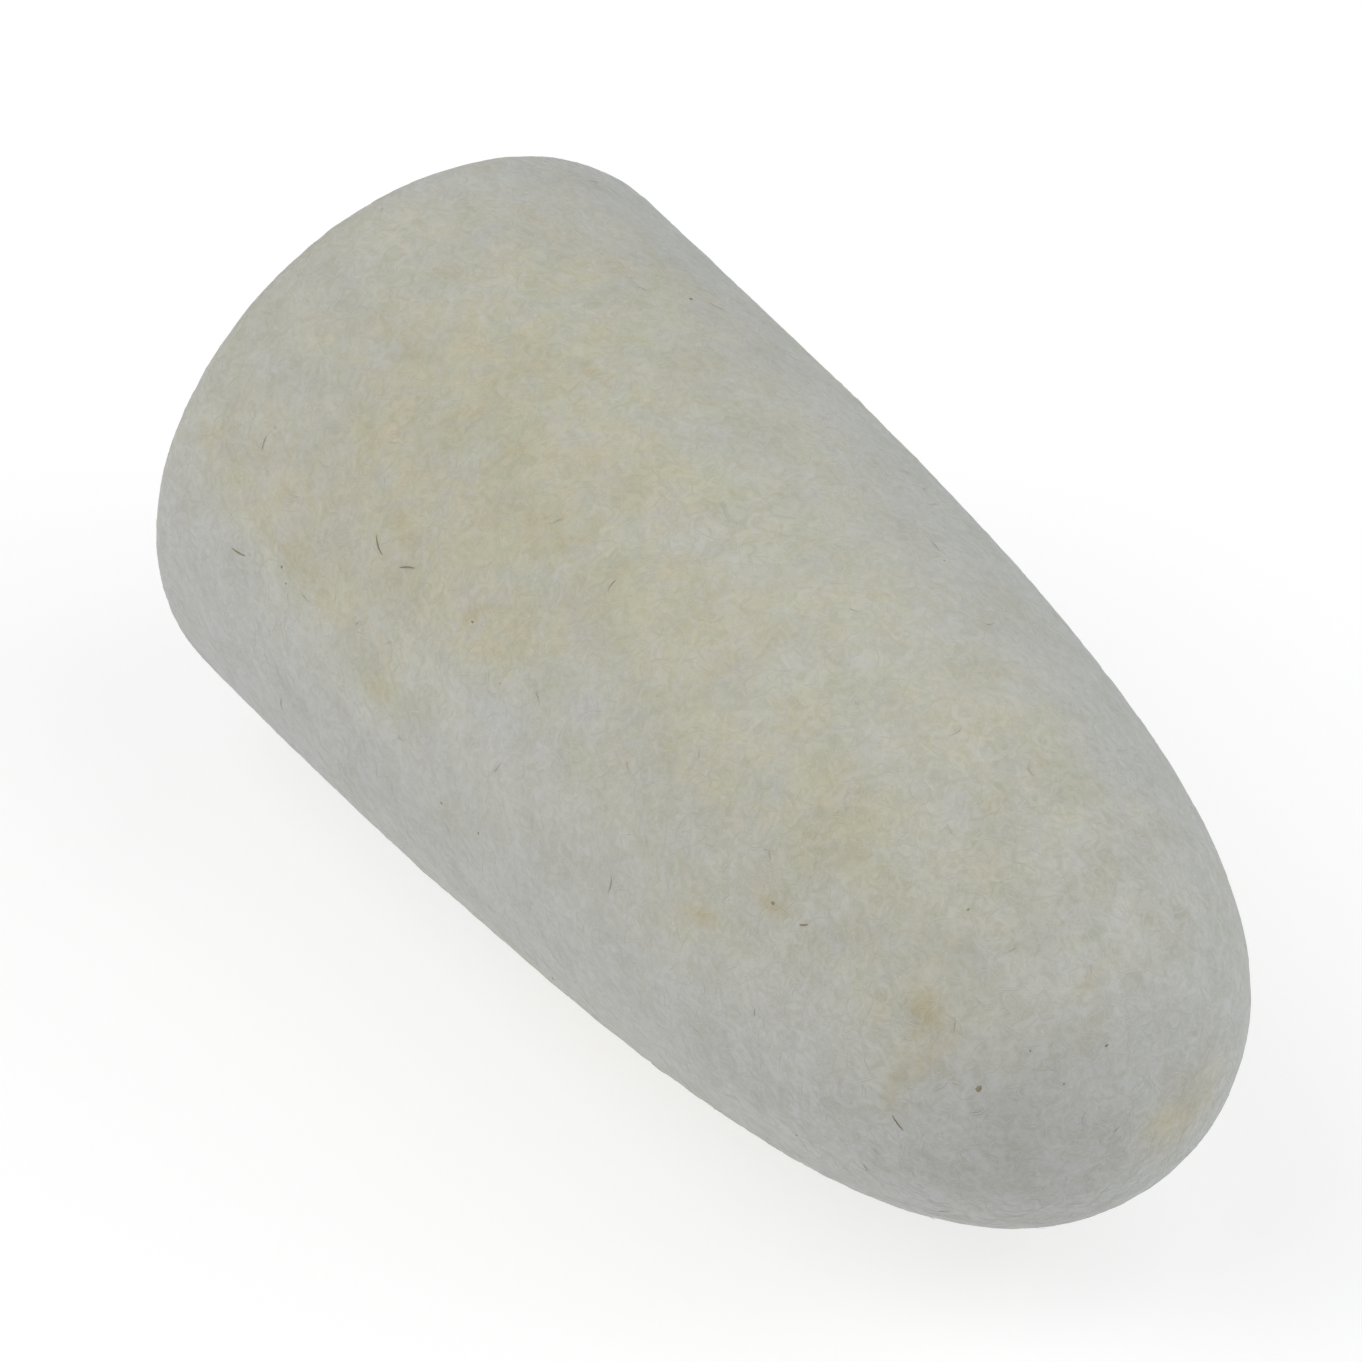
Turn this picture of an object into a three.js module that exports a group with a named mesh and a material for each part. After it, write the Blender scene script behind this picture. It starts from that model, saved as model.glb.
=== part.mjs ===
// A bullet-shaped polishing bob: one solid of hard pressed wool felt, turned to shape.
// It has a flat back with a softened edge, a side that tapers slowly into a shoulder, and a round nose.
// A blind arbor hole runs in from the flat back, for the spindle that drives the bob.
//
// Millimetres, +Z up. The bob lies on its side with its axis level: +X runs from the back to the nose.
// The origin is on the surface that it lies on, below the middle of its length.

import * as THREE from "three";

// Driving dimensions
const DIAMETER = 25.4;
const LENGTH = 50.8;
const BACK_EDGE_RADIUS = 1.8;
const STRAIGHT_LENGTH = 6.4; // of the side, from the flat back to where the taper begins
const HOLE_DIAMETER = 6.35;
const HOLE_DEPTH = 25.4; // to the end of the straight wall, before the drill's point
const DRILL_POINT_ANGLE = 118; // degrees

// The taper is one curve that leaves the straight stretch along the axis and ends square across the axis at the tip.
const SIDE_REACH = 0.754; // how far it holds to the side, as a share of the tapered length
const TIP_REACH = 0.765; // how far it holds to the tip's plane, as a share of the radius

// Facets
const SIDES = 48; // a multiple of 4, so that flat facets face down, up and both ways sideways
const EDGE_STEPS = 5;
const TAPER_STEPS = 24;

const FELT_COLOUR = 0xb8b6a8;
const RADIUS = DIAMETER / 2;

// The outline's points are (distance from the axis, distance from the flat back).

function holeOutline() {
  const holeRadius = HOLE_DIAMETER / 2;
  const pointHeight = holeRadius / Math.tan(THREE.MathUtils.degToRad(DRILL_POINT_ANGLE / 2));
  return [
    new THREE.Vector2(0, HOLE_DEPTH + pointHeight),
    new THREE.Vector2(holeRadius, HOLE_DEPTH),
    new THREE.Vector2(holeRadius, 0),
  ];
}

function backEdgeOutline() {
  const arc = new THREE.EllipseCurve(
    RADIUS - BACK_EDGE_RADIUS,
    BACK_EDGE_RADIUS,
    BACK_EDGE_RADIUS,
    BACK_EDGE_RADIUS,
    -Math.PI / 2,
    0,
  );
  return arc.getPoints(EDGE_STEPS);
}

function taperOutline() {
  const taperLength = LENGTH - STRAIGHT_LENGTH;
  const curve = new THREE.CubicBezierCurve(
    new THREE.Vector2(RADIUS, STRAIGHT_LENGTH),
    new THREE.Vector2(RADIUS, STRAIGHT_LENGTH + SIDE_REACH * taperLength),
    new THREE.Vector2(TIP_REACH * RADIUS, LENGTH),
    new THREE.Vector2(0, LENGTH),
  );
  return curve.getPoints(TAPER_STEPS);
}

// A ring's corners stand a little further out than its flats, so that the flats lie at the true radius.
function moveFlatsToRadius(outline) {
  const cornerReach = 1 / Math.cos(Math.PI / SIDES);
  return outline.map((point) => new THREE.Vector2(point.x * cornerReach, point.y));
}

function makeBob() {
  const outline = [...holeOutline(), ...backEdgeOutline(), ...taperOutline()];
  const halfFacet = Math.PI / SIDES;
  const geometry = new THREE.LatheGeometry(moveFlatsToRadius(outline), SIDES, halfFacet);
  const material = new THREE.MeshStandardMaterial({ color: FELT_COLOUR, roughness: 1, metalness: 0 });
  const bob = new THREE.Mesh(geometry, material);
  bob.name = "felt_bob";
  bob.rotation.z = -Math.PI / 2;
  bob.position.set(-LENGTH / 2, 0, RADIUS);
  return bob;
}

const polishingBob = new THREE.Group();
polishingBob.add(makeBob());

export default polishingBob;
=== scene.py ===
"""A bullet-shaped bob of pressed wool felt, lying on its side on a plain pale floor.

The felt is one dense mesh with soft lumps and pits, under a nap of short curled fibres. A few dark
hairs and specks of plant matter are caught in it, as in any undyed wool.

Lengths are in metres. Where a name or a comment says mm, they are multiplied by MM where they are used.
"""

import math
import random

import bmesh
import bpy
import numpy as np
from mathutils import Matrix, Vector, noise
from mathutils.bvhtree import BVHTree


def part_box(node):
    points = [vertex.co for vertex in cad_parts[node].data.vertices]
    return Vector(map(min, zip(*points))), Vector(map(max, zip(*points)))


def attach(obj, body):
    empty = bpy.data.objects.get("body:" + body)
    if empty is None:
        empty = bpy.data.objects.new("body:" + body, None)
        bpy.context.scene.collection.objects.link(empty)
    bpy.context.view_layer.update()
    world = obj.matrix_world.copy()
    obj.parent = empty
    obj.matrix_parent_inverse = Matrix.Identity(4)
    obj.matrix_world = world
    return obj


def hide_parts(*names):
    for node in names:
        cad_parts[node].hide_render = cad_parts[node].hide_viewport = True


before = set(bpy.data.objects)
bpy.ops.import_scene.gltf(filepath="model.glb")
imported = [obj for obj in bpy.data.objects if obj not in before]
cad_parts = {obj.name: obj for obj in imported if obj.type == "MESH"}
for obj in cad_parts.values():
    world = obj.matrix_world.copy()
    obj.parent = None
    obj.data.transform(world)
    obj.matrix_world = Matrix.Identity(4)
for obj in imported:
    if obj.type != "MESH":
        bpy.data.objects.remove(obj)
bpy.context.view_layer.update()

MM = 0.001
NODE = "felt_bob"

# The bob's outline, as the CAD part has it
LOW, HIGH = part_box(NODE)
BACK_X = LOW[0]
LENGTH = HIGH[0] - LOW[0]
RADIUS = (HIGH[2] - LOW[2]) / 2
AXIS_Z = (HIGH[2] + LOW[2]) / 2
BACK_EDGE_RADIUS = 1.8 * MM
STRAIGHT_LENGTH = 6.4 * MM
HOLE_RADIUS = 3.175 * MM
HOLE_DEPTH = 25.4 * MM
DRILL_POINT_ANGLE = math.radians(118)
SIDE_REACH = 0.754  # how far the taper curve's first handle goes along the taper
TIP_REACH = 0.765  # how far out its second handle is, as a share of the radius
MOUTH_ROUND = 0.35 * MM  # the felt is worn round at the hole's mouth

# The camera
CAMERA_AZIMUTH = math.radians(55.3)
CAMERA_ELEVATION = math.radians(41.5)
CAMERA_DISTANCE = 52 * RADIUS
CLIP_START = 0.01
CLIP_END = 20
VIEW_WIDTH = 4.178 * RADIUS  # what the frame takes in at the bob's middle
LEFT_OF_MIDDLE = 0.273 * RADIUS  # where the camera aims, beside the bob's middle
ABOVE_MIDDLE = 0.239 * RADIUS


def camera_axes():
    """The camera's right, up and back directions."""
    back = Vector((
        math.sin(CAMERA_AZIMUTH) * math.cos(CAMERA_ELEVATION),
        -math.cos(CAMERA_AZIMUTH) * math.cos(CAMERA_ELEVATION),
        math.sin(CAMERA_ELEVATION),
    ))
    right = Vector((math.cos(CAMERA_AZIMUTH), math.sin(CAMERA_AZIMUTH), 0))
    return right, back.cross(right), back


def add_camera():
    right, up, back = camera_axes()
    middle = Vector((BACK_X + LENGTH / 2, 0, AXIS_Z))
    aim = middle - right * LEFT_OF_MIDDLE + up * ABOVE_MIDDLE
    data = bpy.data.cameras.new("camera")
    data.lens = data.sensor_width * CAMERA_DISTANCE / VIEW_WIDTH
    data.clip_start = CLIP_START
    data.clip_end = CLIP_END
    camera = bpy.data.objects.new("camera", data)
    place = aim + back * CAMERA_DISTANCE
    camera.matrix_world = Matrix.LocRotScale(place, back.to_track_quat("Z", "Y"), None)
    bpy.context.collection.objects.link(camera)
    bpy.context.scene.camera = camera


# Shape

EDGE_STEPS = 16
MOUTH_STEPS = 6
TAPER_STEPS = 160
SIDES = 360
VOXEL = 0.252 * MM


def bezier(start, first, second, end, steps):
    """Points along a cubic curve, without its start."""
    points = []
    for i in range(1, steps + 1):
        t = i / steps
        s = 1 - t
        weights = (s * s * s, 3 * s * s * t, 3 * s * t * t, t * t * t)
        points.append(tuple(
            sum(w * p[k] for w, p in zip(weights, (start, first, second, end))) for k in range(2)
        ))
    return points


def arc(centre, radius, from_angle, to_angle, steps):
    """Points along an arc, both ends included."""
    points = []
    for i in range(steps + 1):
        a = from_angle + (to_angle - from_angle) * i / steps
        points.append((centre[0] + radius * math.cos(a), centre[1] + radius * math.sin(a)))
    return points


def side_outline():
    """The bob's outer half section, from the flat back to the tip.

    Each point is (distance from the axis, distance from the back).
    """
    taper = LENGTH - STRAIGHT_LENGTH
    edge_centre = (RADIUS - BACK_EDGE_RADIUS, BACK_EDGE_RADIUS)
    points = arc(edge_centre, BACK_EDGE_RADIUS, -math.pi / 2, 0, EDGE_STEPS)
    points.append((RADIUS, STRAIGHT_LENGTH))
    points += bezier(
        (RADIUS, STRAIGHT_LENGTH),
        (RADIUS, STRAIGHT_LENGTH + SIDE_REACH * taper),
        (TIP_REACH * RADIUS, LENGTH),
        (0, LENGTH),
        TAPER_STEPS,
    )
    return points


def outline():
    """The whole half section, from the hole's end to the tip."""
    point_height = HOLE_RADIUS / math.tan(DRILL_POINT_ANGLE / 2)
    points = [(0, HOLE_DEPTH + point_height), (HOLE_RADIUS, HOLE_DEPTH)]
    mouth_centre = (HOLE_RADIUS + MOUTH_ROUND, MOUTH_ROUND)
    points += arc(mouth_centre, MOUTH_ROUND, math.pi, 1.5 * math.pi, MOUTH_STEPS)
    return points + side_outline()


def turned_mesh(name):
    """The smooth turned shape, closed, with its axis along X."""
    points = outline()
    made = bmesh.new()
    rings = []
    for r, along in points[1:-1]:
        rings.append([
            made.verts.new((
                BACK_X + along,
                r * math.sin(2 * math.pi * i / SIDES),
                AXIS_Z + r * math.cos(2 * math.pi * i / SIDES),
            ))
            for i in range(SIDES)
        ])
    for ring, following in zip(rings, rings[1:]):
        for i in range(SIDES):
            j = (i + 1) % SIDES
            made.faces.new((ring[i], following[i], following[j], ring[j]))
    for ring, (_, along) in ((rings[0], points[0]), (rings[-1], points[-1])):
        pole = made.verts.new((BACK_X + along, 0, AXIS_Z))
        for i in range(SIDES):
            made.faces.new((ring[i], ring[(i + 1) % SIDES], pole))
    bmesh.ops.recalc_face_normals(made, faces=made.faces)
    mesh = bpy.data.meshes.new(name)
    made.to_mesh(mesh)
    made.free()
    return mesh


def add_object(name, mesh):
    made = bpy.data.objects.new(name, mesh)
    bpy.context.collection.objects.link(made)
    return made


def apply_modifiers(piece):
    """Replaces the piece's mesh by its evaluated one."""
    graph = bpy.context.evaluated_depsgraph_get()
    mesh = bpy.data.meshes.new_from_object(piece.evaluated_get(graph))
    piece.modifiers.clear()
    piece.data = mesh


def even_mesh(name):
    """An object of the turned shape with evenly sized faces all over, the nose and the hole included."""
    smooth = turned_mesh(name + "_turned")
    piece = add_object(name, smooth.copy())
    remesh = piece.modifiers.new("even", "REMESH")
    remesh.mode = "VOXEL"
    remesh.voxel_size = VOXEL
    apply_modifiers(piece)
    surface = surface_of(smooth)
    for v in piece.data.vertices:
        v.co = surface.find_nearest(v.co)[0]
    bpy.data.meshes.remove(smooth)
    return piece


def surface_of(mesh):
    return BVHTree.FromPolygons([v.co for v in mesh.vertices], [p.vertices for p in mesh.polygons])


# Each layer of the felt's unevenness: (size of one lump, height), in mm
LUMPS = ((16, 0.08), (6, 0.035), (2.2, 0.018), (0.9, 0.018), (0.5, 0.018))
LAYER_OFFSET = (7.3, 3.1, 5.7)  # so that the layers' lumps don't line up


def unevenness(point):
    """How far the felt stands out of, or in from, the turned shape at a point."""
    height = 0
    for k, (size, most) in enumerate(LUMPS):
        offset = Vector([k * shift for shift in LAYER_OFFSET])
        height += most * MM * noise.noise(point / (size * MM) + offset)
    return height


def vertex_points(mesh):
    points = np.empty(len(mesh.vertices) * 3)
    mesh.vertices.foreach_get("co", points)
    return points.reshape(-1, 3)


def make_body():
    piece = even_mesh("felt_body")
    mesh = piece.data
    normals = [v.normal.copy() for v in mesh.vertices]
    creases = coverage(vertex_points(mesh), CREASES)
    for v, n, crease in zip(mesh.vertices, normals, creases):
        v.co += n * (unevenness(v.co) - CREASE_DEPTH * crease)
        v.co.z = max(v.co.z, 0)  # the floor holds it up
    mesh.shade_smooth()
    mesh.materials.append(felt_material("wool_felt"))
    store_patches(mesh)
    return piece


def store(mesh, name, values):
    """Keeps one number for each vertex, for the material to read."""
    kept = mesh.attributes.new(name, "FLOAT", "POINT")
    kept.data.foreach_set("value", np.asarray(values, dtype=np.float32))


# Places on the side

SLOPE_STEP = 0.2 * MM


def outline_radius(x):
    """The side's distance from the axis at a distance from the bob's middle, and its slope there."""
    side = side_outline()
    xs = [BACK_X + along for r, along in side]
    rs = [r for r, along in side]
    before, here, beyond = np.interp((x - SLOPE_STEP, x, x + SLOPE_STEP), xs, rs)
    return here, (beyond - before) / (2 * SLOPE_STEP)


def spot(x_mm, angle):
    """A place on the side, with its directions: along towards the nose, around, and out.

    x_mm is measured from the bob's middle towards the nose. The angle is in degrees from the top, and
    above 0 towards +Y.
    """
    radius, slope = outline_radius(x_mm * MM)
    a = math.radians(angle)
    radial = Vector((0, math.sin(a), math.cos(a)))
    around = Vector((0, math.cos(a), -math.sin(a)))
    along = (Vector((1, 0, 0)) + radial * slope).normalized()
    out = around.cross(along)
    if out.dot(radial) < 0:
        out = -out
    return Vector((x_mm * MM, 0, AXIS_Z)) + radial * radius, along, around, out


# Colour patches

# Patches of cream wool, each (x in mm, angle in degrees, half length in mm, half width in mm, turn in
# degrees, strength). A strength below 0 takes cream away.
CREAM_PATCHES = (
    (-13.0, -24, 14.0, 10.6, 0, 0.66),
    (5.0, -22, 17.0, 10.4, 0, 0.58),
    (-11.5, -34, 5.5, 4.8, 0, 0.4),
    (-13.0, -4, 5.0, 1.3, 18, 0.35),
    (-6.3, -50, 3.0, 2.2, 0, 0.4),
    (-2.5, -34, 4.0, 1.8, 12, 0.25),
    (3.6, -30, 3.0, 2.4, 0, 0.2),
    (5.0, -42, 1.8, 1.4, 0, 0.3),
    (11.5, -32, 3.6, 2.8, -10, 0.4),
    (17.0, -36, 3.0, 3.4, 0, 0.3),
    (13.3, 12, 3.4, 2.4, 0, 0.35),
    (17.5, 8, 2.6, 3.0, 0, 0.25),
    (20.0, -52, 1.6, 1.8, 0, 0.35),
    (-16.5, -66, 5.0, 1.8, -6, 0.45),
    (-12.0, -70, 2.4, 0.9, -18, 0.4),
    (-9.9, -72, 2.0, 0.8, -17, 0.27),
    (4.6, -42, 1.6, 1.2, 0, 0.25),
    (1.5, -57.5, 0.9, 0.6, 0, 0.35),
    (-21.0, -61, 3.4, 2.2, 0, 0.3),
    (-15.0, 14, 4.0, 2.4, 0, 0.35),
    (9.5, -64, 2.6, 1.6, 0, 0.25),
    (-6.0, 23, 2.0, 1.4, 0, 0.25),
    (25.3, 85, 2.0, 1.6, 0, 0.4),
    (22.5, 0, 3.0, 9.0, 0, 0.13),
    (-17.0, 24, 4.0, 3.0, 0, 0.16),
    (-18.5, -43, 2.0, 1.2, 0, -0.45),
    (-20.5, -28, 2.2, 2.6, 0, -0.25),
    (-5.5, 3, 2.2, 1.2, -15, -0.4),
    (-2.0, -63, 3.4, 1.4, 0, -0.5),
    (0.7, -50.7, 1.3, 0.9, 0, -0.4),
    (7.0, -52, 2.2, 1.2, 0, -0.3),
    (0.5, -12, 2.0, 1.0, 10, -0.3),
    (6.8, -15, 1.6, 1.0, -20, -0.3),
    (14.5, -12, 2.0, 1.4, 0, -0.25),
)
# Brownish stains, in the same form
STAINS = (
    (20.0, -52.5, 0.7, 0.6, 0, 0.75),
    (20.7, -62, 0.4, 0.9, -25, 0.4),
    (19.9, -74, 0.35, 1.3, -10, 0.3),
    (25.3, 87, 1.7, 1.4, 0, 0.32),
    (-22.2, -61, 1.2, 0.4, 45, 0.25),
    (12.6, -54, 0.8, 0.4, 0, 0.6),
    (10.1, -65, 0.7, 0.5, 0, 0.35),
    (-20.6, 13, 0.8, 0.6, 0, 0.35),
    (-16.7, -26, 0.6, 0.5, 0, 0.4),
    (-10.6, -4, 0.5, 0.3, 0, 0.6),
    (-11.4, -49, 1.0, 0.7, 0, 0.3),
    (22.9, -8, 0.25, 1.3, 20, 0.35),
    (-6.0, -51.5, 0.5, 0.35, 45, 0.6),
    (-16.0, -68, 1.4, 0.4, 0, 0.3),
    (11.9, -38, 1.2, 0.8, 0, 0.2),
)
# Where the felt is brighter (strength above 0) or darker, in the same form. The first three are painted
# light on one ridge beside the crease in CREASES, painted shade in the crease, and painted light on the
# other ridge
BRIGHT_AND_CREASE_SHADE_PATCHES = (
    # painted light on a ridge, painted shade in the crease, painted light on the other ridge
    (-12.5, -78.5, 4.4, 0.8, -13, 1.0),
    (-8.3, -74.5, 3.8, 0.5, -17, -0.8),
    (-4.5, -69.5, 2.2, 0.9, -17, 0.5),
    (-1.5, -67, 6.5, 1.5, 0, 0.7),
    (-10.0, -98, 8.0, 2.0, 0, -0.6),
    (14.0, -98, 7.0, 1.6, 0, -0.5),
    (15.0, -70, 5.0, 2.2, 0, 0.4),
    (23.8, -62, 1.2, 3.0, 0, -0.6),
    (21.0, -100, 2.0, 3.0, 0, -0.4),
    (-16.0, 32, 6.0, 3.0, 0, -0.5),
    (-21.5, -72, 2.6, 2.6, 0, 0.4),
    (-11.0, -30, 6.0, 5.0, 0, -0.4),
    (4.0, -12, 8.0, 4.0, 0, 0.4),
    (12.0, 0, 5.0, 4.0, 0, 0.3),
    (22.5, 10, 3.0, 4.0, 0, 0.6),
    (23.0, -15, 2.0, 3.0, 0, 0.3),
)
# A soft crease in the felt (strength above 0) and the low ridges beside it, in the same form
CREASES = (
    (-8.3, -74.5, 4.0, 0.6, -17, 1.0),
    (-12.5, -78.5, 4.4, 0.9, -13, -0.7),
    (-4.5, -70.0, 2.6, 1.0, -17, -0.5),
)
CREASE_DEPTH = 0.08 * MM

# On the side turned away from the camera, how many patches of each kind there are, and where they may be
UNSEEN_BROAD_PATCHES = 5
UNSEEN_PATCHES = 30
UNSEEN_STAINS = 14
UNSEEN_BRIGHT_PATCHES = 16
UNSEEN_PATCH_X = (-23, 18)
UNSEEN_PATCH_ANGLES = (75, 222)
UNSEEN_PATCH_WIDTHS = (0.3, 0.8)  # as shares of their length
UNSEEN_PATCH_TURNS = (-25, 25)


def unseen_patches(rng, count, sizes, strengths):
    """Patches strewn over the side turned away from the camera."""
    patches = []
    for _ in range(count):
        size = rng.uniform(*sizes)
        patches.append((
            rng.uniform(*UNSEEN_PATCH_X),
            rng.uniform(*UNSEEN_PATCH_ANGLES),
            size,
            size * rng.uniform(*UNSEEN_PATCH_WIDTHS),
            rng.uniform(*UNSEEN_PATCH_TURNS),
            rng.uniform(*strengths),
        ))
    return patches


def cream_patches():
    rng = random.Random(11)
    broad = unseen_patches(rng, UNSEEN_BROAD_PATCHES, (8, 15), (0.45, 0.65))
    small = unseen_patches(rng, UNSEEN_PATCHES, (1.2, 5), (-0.3, 0.4))
    return [*CREAM_PATCHES, *broad, *small]


def stain_patches():
    rng = random.Random(17)
    return [*STAINS, *unseen_patches(rng, UNSEEN_STAINS, (0.4, 1.4), (0.25, 0.6))]


# Brighter and darker patches; the listed ones include painted shade in the crease and painted light on
# its ridges
def bright_and_crease_shade_patches():
    rng = random.Random(19)
    return [*BRIGHT_AND_CREASE_SHADE_PATCHES, *unseen_patches(rng, UNSEEN_BRIGHT_PATCHES, (1.5, 7), (-0.8, 0.8))]


PATCH_DEPTH = 8 * MM  # how far in a patch reaches, so that it doesn't show on the far side
# Patch edges are made ragged by moving points about: (size of the waves, how far), in mm
RAGGED = ((3.4, 1.4), (1.0, 0.5))
STAIN_SHARE = 0.4  # stains and bright patches are small, so their points move less
RAGGED_SEED = 301


def ragged(points):
    """How far each point moves."""
    noise.seed_set(RAGGED_SEED)
    moves = np.zeros(points.shape)
    for size, reach in RAGGED:
        moves += np.array([noise.noise_vector(Vector(p) / (size * MM)) for p in points]) * (reach * MM)
    return moves


def coverage(points, patches):
    """How much the patches cover each point, up to 1. A patch of negative strength lowers it."""
    clear = np.ones(len(points))
    for x_mm, angle, half_length, half_width, turn, strength in patches:
        place, along, around, out = spot(x_mm, angle)
        t = math.radians(turn)
        far = points - np.array(place)
        lengthwise = far @ np.array(along * math.cos(t) + around * math.sin(t)) / (half_length * MM)
        widthwise = far @ np.array(around * math.cos(t) - along * math.sin(t)) / (half_width * MM)
        depth = far @ np.array(out) / PATCH_DEPTH
        clear *= 1 - strength * np.exp(-(lengthwise**2 + widthwise**2 + depth**2))
    return 1 - clear


def store_patches(mesh):
    points = vertex_points(mesh)
    moves = ragged(points)
    little_moved = points + moves * STAIN_SHARE
    store(mesh, "cream", coverage(points + moves, cream_patches()))
    store(mesh, "stain", coverage(little_moved, stain_patches()))
    store(mesh, "bright_and_crease_shade", coverage(little_moved, bright_and_crease_shade_patches()))


# Fibres


def fibre_path(surface, start, direction, length, bend, sink, rise, steps, loose):
    """Points of one fibre lying along the felt, each with the felt's outward direction.

    Its two ends lie sink deep and its middle rises out. A loose fibre rises all the way to its far end.
    """
    place, out = surface.find_nearest(start)[:2]
    path = []
    for i in range(steps + 1):
        t = i / steps
        height = rise * t * t - sink if loose else rise * math.sin(math.pi * t) - sink
        path.append((place + out * height, out))
        direction = (direction - out * direction.dot(out)).normalized()
        direction = Matrix.Rotation(bend * length / steps, 3, out) @ direction
        place, out = surface.find_nearest(place + direction * (length / steps))[:2]
    return path


TUBE_SIDES = 3
TUBE_END = 0.4  # how slim the ends are


def add_tube(verts, faces, path, radius, flatness):
    """Adds a closed thin three-sided tube along a path, ridge outwards and slimmer at its two ends."""
    first = len(verts)
    last = len(path) - 1
    for i, (place, out) in enumerate(path):
        ahead = path[min(i + 1, last)][0] - path[max(i - 1, 0)][0]
        across = ahead.cross(out).normalized()
        upward = across.cross(ahead).normalized()
        r = radius * (TUBE_END if i in (0, last) else 1)
        for k in range(TUBE_SIDES):
            a = 2 * math.pi * k / TUBE_SIDES + math.pi / 2
            corner = place + across * (r * math.cos(a)) + upward * (r * flatness * math.sin(a))
            verts.append(tuple(corner))
    for i in range(last):
        ring = first + i * TUBE_SIDES
        for k in range(TUBE_SIDES):
            j = (k + 1) % TUBE_SIDES
            faces.append((ring + k, ring + TUBE_SIDES + k, ring + TUBE_SIDES + j, ring + j))
    end = first + last * TUBE_SIDES
    faces.append(tuple(first + k for k in range(TUBE_SIDES)))
    faces.append(tuple(end + k for k in reversed(range(TUBE_SIDES))))


HOLE_WALL = 0.2 * MM  # how far past its radius the hole's wall may lie
HOLE_MOUTH = 0.3 * MM  # how far in from the back the mouth goes
HOLE_REACH = 0.7 * LENGTH


def in_hole(place):
    """Whether a place on the felt is on the hole's wall or its end."""
    from_axis = math.hypot(place.y, place.z - AXIS_Z)
    from_back = place.x - BACK_X
    return from_axis < HOLE_RADIUS + HOLE_WALL and HOLE_MOUTH < from_back < HOLE_REACH


# Each part of the nap: (name, where it starts and ends as shares of the length, number of fibres,
# how much their tones differ)
NAP = (
    ("nap_back", -1, 0.3, 4300, 0.7),
    ("nap_side", 0.3, 0.68, 3800, 0.85),
    ("nap_nose", 0.68, 2, 4300, 0.8),
)
OFF_FLOOR = 0.2 * MM  # no fibre is rooted lower than this
# One fibre, in mm, where two numbers are the least and the most
NAP_LENGTH = (0.5, 1.6)
NAP_RADIUS = (0.02, 0.04)
NAP_BEND = (-1.9, 1.9)  # in 1/mm
NAP_SINK = 0.004
NAP_RISE = (0.003, 0.012)
LOOSE_RISE = (0.03, 0.1)
LOOSE_SHARE = 0.01
NAP_FLATNESS = 0.32
NAP_STEPS = 6


def nap_roots(body, from_share, to_share):
    """The body's faces that a part of the nap grows from."""
    low = BACK_X + from_share * LENGTH
    high = BACK_X + to_share * LENGTH
    return [
        p for p in body.data.polygons
        if low <= p.center.x < high and p.center.z > OFF_FLOOR and not in_hole(p.center)
    ]


def nap_path(surface, root, rng):
    """One fibre of the nap, which sets off any way over the felt and curls."""
    turn = rng.uniform(0, 2 * math.pi)
    direction = root.normal.orthogonal().normalized()
    direction = Matrix.Rotation(turn, 3, root.normal) @ direction
    loose = rng.random() < LOOSE_SHARE
    return fibre_path(
        surface,
        root.center,
        direction,
        length=rng.uniform(*NAP_LENGTH) * MM,
        bend=rng.uniform(*NAP_BEND) / MM,
        sink=NAP_SINK * MM,
        rise=rng.uniform(*(LOOSE_RISE if loose else NAP_RISE)) * MM,
        steps=NAP_STEPS,
        loose=loose,
    )


def make_nap(body, surface, name, from_share, to_share, count, spread, rng):
    """Short curled wool fibres that lie on the felt, a few with a loose end."""
    roots = nap_roots(body, from_share, to_share)
    verts = []
    faces = []
    tones = []
    for _ in range(count):
        path = nap_path(surface, rng.choice(roots), rng)
        before = len(verts)
        add_tube(verts, faces, path, rng.uniform(*NAP_RADIUS) * MM, NAP_FLATNESS)
        tones += [0.5 + spread * (rng.random() - 0.5)] * (len(verts) - before)
    mesh = bpy.data.meshes.new(name)
    mesh.from_pydata(verts, [], faces)
    mesh.materials.append(nap_material("wool_nap"))
    store_patches(mesh)
    store(mesh, "tone", tones)
    return add_object(name, mesh)


# Dark hairs caught in the felt: (x in mm, angle in degrees, length in mm, turn in degrees, bend in 1/mm)
DARK_HAIRS = (
    (-19.3, -75.5, 0.95, 5, 0.3),
    (-12.4, -52.5, 0.95, -50, 0.7),
    (-10.5, -54, 0.8, 42, -0.4),
    (20.0, -84.5, 0.8, -62, 0.6),
    (14.0, -54, 0.4, 20, 1.2),
)
UNSEEN_HAIRS = 9
HAIR_RADIUS = 0.042 * MM
HAIR_FLATNESS = 0.6
HAIR_SINK = 0.005 * MM
HAIR_RISE = 0.02 * MM
HAIR_STEPS = 10
UNSEEN_FLECK_X = (-23, 20)


def unseen_angle(rng):
    """An angle on the side turned away from the camera, clear of the floor."""
    return rng.choice((rng.uniform(60, 165), rng.uniform(195, 240)))


def all_hairs():
    """The hairs that the photo shows and seeded random ones on the side turned away."""
    rng = random.Random(23)
    hairs = list(DARK_HAIRS)
    for _ in range(UNSEEN_HAIRS):
        hairs.append((
            rng.uniform(*UNSEEN_FLECK_X),
            unseen_angle(rng),
            rng.uniform(0.5, 1.3),
            rng.uniform(0, 180),
            rng.uniform(-1.5, 1.5),
        ))
    return hairs


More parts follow.
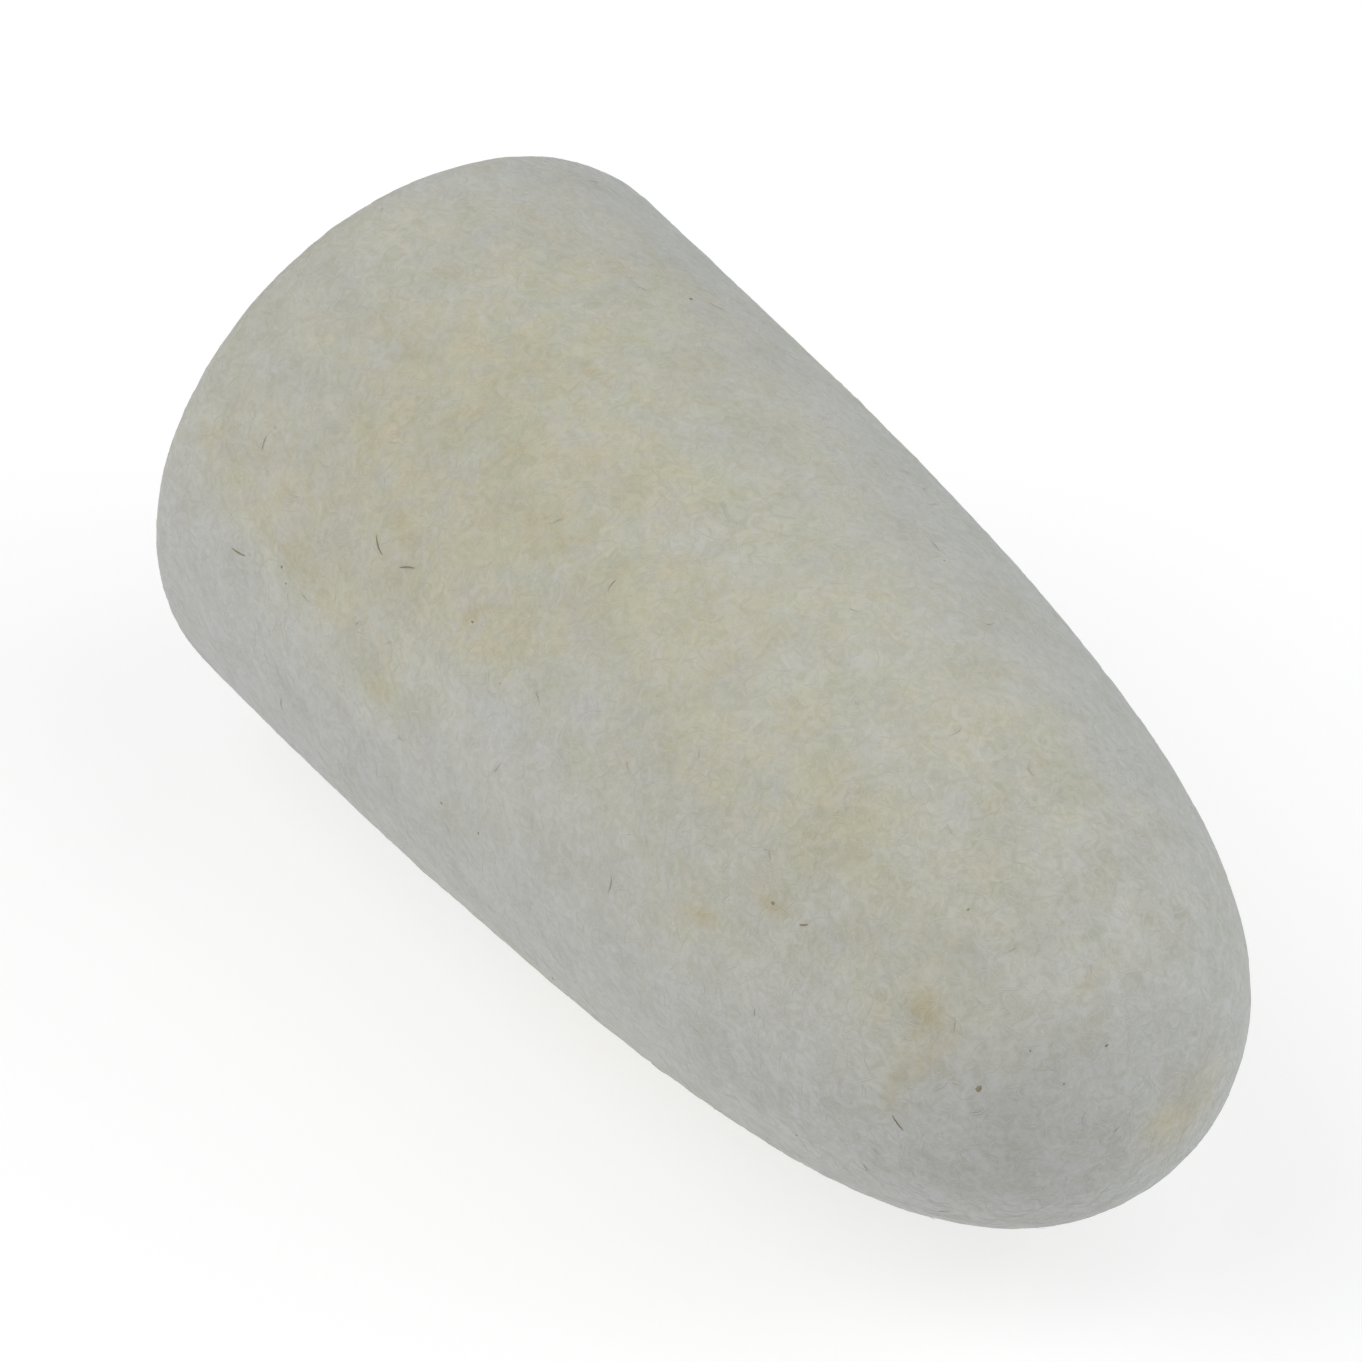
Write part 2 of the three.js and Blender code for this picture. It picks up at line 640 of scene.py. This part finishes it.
def make_hairs(surface):
    verts = []
    faces = []
    for x_mm, angle, length, turn, bend in all_hairs():
        place, along, around, out = spot(x_mm, angle)
        t = math.radians(turn)
        path = fibre_path(
            surface,
            place,
            along * math.cos(t) + around * math.sin(t),
            length=length * MM,
            bend=bend / MM,
            sink=HAIR_SINK,
            rise=HAIR_RISE,
            steps=HAIR_STEPS,
            loose=False,
        )
        add_tube(verts, faces, path, HAIR_RADIUS, HAIR_FLATNESS)
    mesh = bpy.data.meshes.new("dark_hairs")
    mesh.from_pydata(verts, [], faces)
    mesh.shade_smooth()
    mesh.materials.append(fleck_material("dark_hair", *HAIR_BROWNS))
    return add_object("dark_hairs", mesh)


# Specks of plant matter: (x in mm, angle in degrees, width in mm)
SPECKS = (
    (22.5, -65, 0.3),
    (-13.6, 26.6, 0.2),
    (12.6, -54, 0.2),
    (-16.2, -70.5, 0.16),
    (-15.7, -72.5, 0.1),
    (4.2, 26, 0.12),
    (-4.5, -86.8, 0.15),
    (-2.1, -86, 0.14),
    (-6.0, -52, 0.14),
    (-3.3, -57, 0.1),
    (18.7, -26, 0.12),
    (24.4, -20, 0.14),
    (24.3, -48, 0.1),
    (23.2, -44, 0.1),
    (15.5, -107.8, 0.15),
)
UNSEEN_SPECKS = 12
SPECK_BUMP = 0.07 * MM  # the size of the lumps that make a speck uneven
SPECK_SWELL = 0.5


def add_speck(made, place, out, width, turn):
    """Adds a flat uneven grain that lies on the felt."""
    lie = out.to_track_quat("Z", "Y").to_matrix().to_4x4() @ Matrix.Rotation(turn, 4, "Z")
    shape = Matrix.Diagonal((width / 2, width / 3, width / 9, 1))
    matrix = Matrix.Translation(place) @ lie @ shape
    ball = bmesh.ops.create_icosphere(made, subdivisions=2, radius=1, matrix=matrix)
    for v in ball["verts"]:
        swell = 1 + SPECK_SWELL * noise.noise(v.co / SPECK_BUMP)
        v.co = place + (v.co - place) * swell


def make_specks(surface):
    rng = random.Random(37)
    specks = list(SPECKS)
    for _ in range(UNSEEN_SPECKS):
        specks.append((rng.uniform(*UNSEEN_FLECK_X), unseen_angle(rng), rng.uniform(0.08, 0.24)))
    made = bmesh.new()
    for x_mm, angle, width in specks:
        place, out = surface.find_nearest(spot(x_mm, angle)[0])[:2]
        add_speck(made, place, out, width * MM, rng.uniform(0, 6.28))
    mesh = bpy.data.meshes.new("plant_specks")
    made.to_mesh(mesh)
    made.free()
    mesh.shade_smooth()
    mesh.materials.append(fleck_material("plant_speck", *SPECK_BROWNS))
    return add_object("plant_specks", mesh)


# Materials


def new_material(name):
    material = bpy.data.materials.new(name)
    material.use_nodes = True
    material.node_tree.nodes.clear()
    return material


class Nodes:
    """Short calls that add and link shader nodes."""

    def __init__(self, material):
        self.tree = material.node_tree
        self.where = self.add("TexCoord").outputs["Object"]

    def add(self, kind, **settings):
        node = self.tree.nodes.new("ShaderNode" + kind)
        for key, value in settings.items():
            setattr(node, key, value)
        return node

    def put(self, socket, value):
        """Links the socket to an output, or sets it to a plain value."""
        if isinstance(value, bpy.types.NodeSocket):
            self.tree.links.new(value, socket)
        else:
            socket.default_value = value

    def math(self, operation, a, b=0.0):
        node = self.add("Math", operation=operation)
        self.put(node.inputs[0], a)
        self.put(node.inputs[1], b)
        return node.outputs[0]

    def noise(self, size_mm, detail=2.0, roughness=0.5, distortion=0.0, offset=0.0):
        """A noise whose lumps are about size_mm across."""
        where = self.where
        if offset:
            shift = self.add("VectorMath", operation="ADD")
            self.put(shift.inputs[0], where)
            self.put(shift.inputs[1], (offset, offset, offset))
            where = shift.outputs["Vector"]
        node = self.add("TexNoise")
        self.put(node.inputs["Vector"], where)
        self.put(node.inputs["Scale"], 1 / (size_mm * MM))
        self.put(node.inputs["Detail"], detail)
        self.put(node.inputs["Roughness"], roughness)
        self.put(node.inputs["Distortion"], distortion)
        return node.outputs["Fac"]

    def along(self):
        """The distance from the bob's middle towards the nose."""
        split = self.add("SeparateXYZ")
        self.put(split.inputs[0], self.where)
        return split.outputs["X"]

    def stored(self, name):
        """A number that the mesh keeps at each vertex."""
        return self.add("Attribute", attribute_name=name).outputs["Fac"]

    def ramp(self, value, low, high, to_low=0.0, to_high=1.0):
        """Maps low..high softly to to_low..to_high, held at the ends."""
        node = self.add("MapRange", interpolation_type="SMOOTHSTEP")
        self.put(node.inputs["Value"], value)
        self.put(node.inputs["From Min"], low)
        self.put(node.inputs["From Max"], high)
        self.put(node.inputs["To Min"], to_low)
        self.put(node.inputs["To Max"], to_high)
        return node.outputs["Result"]

    def mix(self, factor, a, b, blend="MIX"):
        node = self.add("Mix", data_type="RGBA", blend_type=blend)
        colours = [s for s in node.inputs if s.type == "RGBA"]
        self.put(node.inputs[0], factor)
        self.put(colours[0], a)
        self.put(colours[1], b)
        return next(s for s in node.outputs if s.type == "RGBA")

    def strands(self, size_mm, width, offset):
        """Thin curled lines, 1 on a line and 0 off it, where a twisted noise crosses its middle value."""
        field = self.noise(size_mm, detail=1.0, distortion=1.6, offset=offset)
        off_middle = self.math("ABSOLUTE", self.math("SUBTRACT", field, 0.5))
        return self.ramp(off_middle, 0.0, width, 1.0, 0.0)

    def finish(self, **sockets):
        surface = self.add("BsdfPrincipled")
        for name, value in sockets.items():
            self.put(surface.inputs[name.replace("_", " ")], value)
        output = self.add("OutputMaterial")
        self.put(output.inputs["Surface"], surface.outputs["BSDF"])


WHITE_WOOL = (0.481, 0.486, 0.465, 1)
OLIVE_CREAM_WOOL = (0.503, 0.493, 0.371, 1)
WARM_CREAM_WOOL = (0.517, 0.487, 0.359, 1)
STAINED_WOOL = (0.45, 0.395, 0.245, 1)
CREAM_EVERYWHERE = 0.03  # even the whitest wool has a little cream in it
BRIGHT_REACH = 0.065  # how much brighter a bright patch is; it also scales the painted crease shade and ridge light
# Painted shade and light: a dark tone is painted warmer, as shade between the fibres, and a light one
# cooler, as light on the wool on top. What each channel is multiplied by, at a dark tone and at a light
# one:
SHADE_TONE = 0.8
SHADE_TINT = (0.805, 0.8, 0.732, 1)
LIT_TONE = 1.1
LIT_TINT = (1.097, 1.1, 1.143, 1)
# Where the tones of the nap's fibres start, and how far they range
NAP_TONE = 0.975
NAP_TONE_RANGE = 0.075
# The felt is rougher on the nose, which is cut across its layers
ROUGHER_FROM = 8 * MM
ROUGHER_TO = 19 * MM
NOSE_ROUGHER = 1.2
# The darkest and the lightest brown of the flecks
HAIR_BROWNS = ((0.25, 0.2, 0.13, 1), (0.39, 0.31, 0.2, 1))
SPECK_BROWNS = ((0.2, 0.18, 0.12, 1), (0.34, 0.3, 0.19, 1))
WOOL_SURFACE = {
    "Roughness": 1.0,
    "Specular_IOR_Level": 0.1,
    "Sheen_Weight": 0.12,
    "Sheen_Roughness": 0.6,
    "Sheen_Tint": (0.92, 0.96, 1, 1),
}


def wool_colour(n):
    """White wool that turns cream, brown, brighter or darker in the stored patches, in uneven grains. The
    darker and brighter include painted shade in the crease and painted light on its ridges.
    """
    coarse = n.math("SUBTRACT", n.noise(2.4, detail=2, roughness=0.6, offset=0.4), 0.48)
    fine = n.math("SUBTRACT", n.noise(0.9, detail=4, roughness=0.75, distortion=0.8), 0.48)
    grain = n.math("ADD", n.math("MULTIPLY", coarse, 1.9), n.math("MULTIPLY", fine, 2.1))
    broken = n.math("ADD", grain, 1.0)
    cream = n.math("ADD", n.math("MULTIPLY", n.stored("cream"), broken), CREAM_EVERYWHERE)
    stain = n.math("MULTIPLY", n.stored("stain"), broken)
    # brighter and darker wool, with painted shade in the crease and painted light on its ridges
    bright_and_crease_shade = n.math("ADD", n.math("MULTIPLY", n.stored("bright_and_crease_shade"), BRIGHT_REACH), 1.0)
    warmth = n.ramp(n.noise(1.5, detail=3, roughness=0.6, offset=0.7), 0.38, 0.62)
    cream_wool = n.mix(warmth, OLIVE_CREAM_WOOL, WARM_CREAM_WOOL)
    colour = n.mix(stain, n.mix(cream, WHITE_WOOL, cream_wool), STAINED_WOOL)
    return n.mix(1.0, colour, bright_and_crease_shade, "MULTIPLY")


def toned_wool(n, tone):
    """The wool's colour with painted shade between fibres: darker and warmer, or lighter and cooler, by a
    tone of about 1.
    """
    # a dark tone paints warm shade between the fibres, a light tone paints cooler light on top
    share = n.math("MULTIPLY", n.math("SUBTRACT", tone, SHADE_TONE), 1 / (LIT_TONE - SHADE_TONE))
    return n.mix(1.0, wool_colour(n), n.mix(share, SHADE_TINT, LIT_TINT), "MULTIPLY")


def felt_material(name):
    """The felt itself: wool mottled by spots that are partly painted shade of its small pits and lumps
    and partly uneven wool, by soft clouds and by curled strands, with a fine bump.
    """
    material = new_material(name)
    n = Nodes(material)
    # painted shade in the felt's small pits and among its lumps, mixed with uneven lighter wool
    pit_shade_and_grain = n.ramp(n.noise(0.6, detail=3, roughness=0.65, distortion=1.5), 0.25, 0.7, -0.088, 0.058)
    cloud = n.ramp(n.noise(2.2, detail=3, offset=0.3), 0.3, 0.62, -0.045, 0.02)
    rougher = n.ramp(n.along(), ROUGHER_FROM, ROUGHER_TO, 1.0, NOSE_ROUGHER)
    mottle = n.math("ADD", n.math("MULTIPLY", n.math("ADD", pit_shade_and_grain, cloud), rougher), 1.0)
    light_strands = n.math("MULTIPLY", n.strands(0.9, 0.05, 0.11), 0.03)
    dark_strands = n.math("MULTIPLY", n.strands(0.7, 0.05, 0.23), -0.02)
    strands = n.math("ADD", n.math("ADD", light_strands, dark_strands), 1.0)
    tone = n.math("MULTIPLY", mottle, strands)

    bump = n.add("Bump")
    n.put(bump.inputs["Strength"], 0.5)
    n.put(bump.inputs["Distance"], 0.05 * MM)
    n.put(bump.inputs["Height"], n.noise(0.2, detail=3, roughness=0.65, distortion=1.0))
    n.finish(Base_Color=toned_wool(n, tone), Normal=bump.outputs["Normal"], **WOOL_SURFACE)
    return material


def nap_material(name):
    """The fibres on the felt, each with its own tone. The nap's pieces share it."""
    material = bpy.data.materials.get(name)
    if material:
        return material
    material = new_material(name)
    n = Nodes(material)
    tone = n.math("ADD", n.math("MULTIPLY", n.stored("tone"), NAP_TONE_RANGE), NAP_TONE)
    n.finish(Base_Color=toned_wool(n, tone), **WOOL_SURFACE)
    return material


def fleck_material(name, dark, light):
    """Matt brown that varies along its length."""
    material = new_material(name)
    n = Nodes(material)
    brown = n.mix(n.noise(0.15, detail=3), dark, light)
    n.finish(Base_Color=brown, Roughness=0.8, Specular_IOR_Level=0.3)
    return material


# The studio

FLOOR_GREY = (0.42, 0.42, 0.42, 1)
FLOOR_GLOW = 0.63  # lifts the floor nearly to white and leaves a faint shadow
FLOOR_HALF_WIDTH = 3
WORLD_STRENGTH = 0.2
BACKDROP_STRENGTH = 0.73  # what the camera sees beyond the floor


def floor_material():
    material = new_material("pale_floor")
    n = Nodes(material)
    n.finish(
        Base_Color=FLOOR_GREY,
        Roughness=1.0,
        Specular_IOR_Level=0.0,
        Emission_Color=(1, 1, 1, 1),
        Emission_Strength=FLOOR_GLOW,
    )
    return material


def add_floor():
    half = FLOOR_HALF_WIDTH
    mesh = bpy.data.meshes.new("floor")
    corners = [(-half, -half, 0), (half, -half, 0), (half, half, 0), (-half, half, 0)]
    mesh.from_pydata(corners, [], [(0, 1, 2, 3)])
    mesh.materials.append(floor_material())
    add_object("floor", mesh)


LAMP_DISTANCE = 0.7
LAMP_WIDTH = 0.45
WHITE_LIGHT = (1, 1, 1)
COOL_LIGHT = (0.95, 0.98, 1)
# Soft lamps round the bob: (name, degrees to the camera's right, elevation in degrees, power in watts,
# colour)
LAMPS = (
    ("front_left", 315, 50, 0.2, WHITE_LIGHT),
    ("right", 90, 30, 1.5, COOL_LIGHT),
    ("left", 270, 30, 1.22, WHITE_LIGHT),
    ("right_high", 60, 60, 0.95, WHITE_LIGHT),
    ("left_high", 300, 60, 1.2, WHITE_LIGHT),
    ("back_right", 120, 60, 0.35, COOL_LIGHT),
    ("back_left", 240, 60, 0.45, WHITE_LIGHT),
)


def add_lamps():
    middle = Vector((0, 0, AXIS_Z))
    for name, turn, elevation, power, colour in LAMPS:
        a = CAMERA_AZIMUTH + math.radians(turn)
        e = math.radians(elevation)
        back = Vector((math.sin(a) * math.cos(e), -math.cos(a) * math.cos(e), math.sin(e)))
        data = bpy.data.lights.new(name, "AREA")
        data.size = LAMP_WIDTH
        data.energy = power
        data.color = colour
        lamp = bpy.data.objects.new(name, data)
        place = middle + back * LAMP_DISTANCE
        lamp.matrix_world = Matrix.LocRotScale(place, back.to_track_quat("Z", "Y"), None)
        lamp.visible_camera = False
        bpy.context.collection.objects.link(lamp)


def add_world():
    """A dim even fill, which the camera sees as a backdrop as pale as the far floor."""
    world = bpy.data.worlds.new("studio")
    world.use_nodes = True
    n = Nodes(world)
    seen = n.add("LightPath").outputs["Is Camera Ray"]
    background = world.node_tree.nodes["Background"]
    backdrop = n.math("MULTIPLY", seen, BACKDROP_STRENGTH)
    n.put(background.inputs["Strength"], n.math("MAXIMUM", backdrop, WORLD_STRENGTH))
    background.inputs["Color"].default_value = (1, 1, 1, 1)
    bpy.context.scene.world = world


def main():
    bpy.context.scene.view_settings.view_transform = "Standard"
    add_camera()
    add_floor()
    add_lamps()
    add_world()
    body = make_body()
    surface = surface_of(body.data)
    rng = random.Random(5)
    pieces = [body]
    for name, from_share, to_share, count, spread in NAP:
        pieces.append(make_nap(body, surface, name, from_share, to_share, count, spread, rng))
    pieces += [make_hairs(surface), make_specks(surface)]
    for piece in pieces:
        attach(piece, "root")
        print(piece.name, len(piece.data.polygons), "faces")
    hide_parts(NODE)


main()
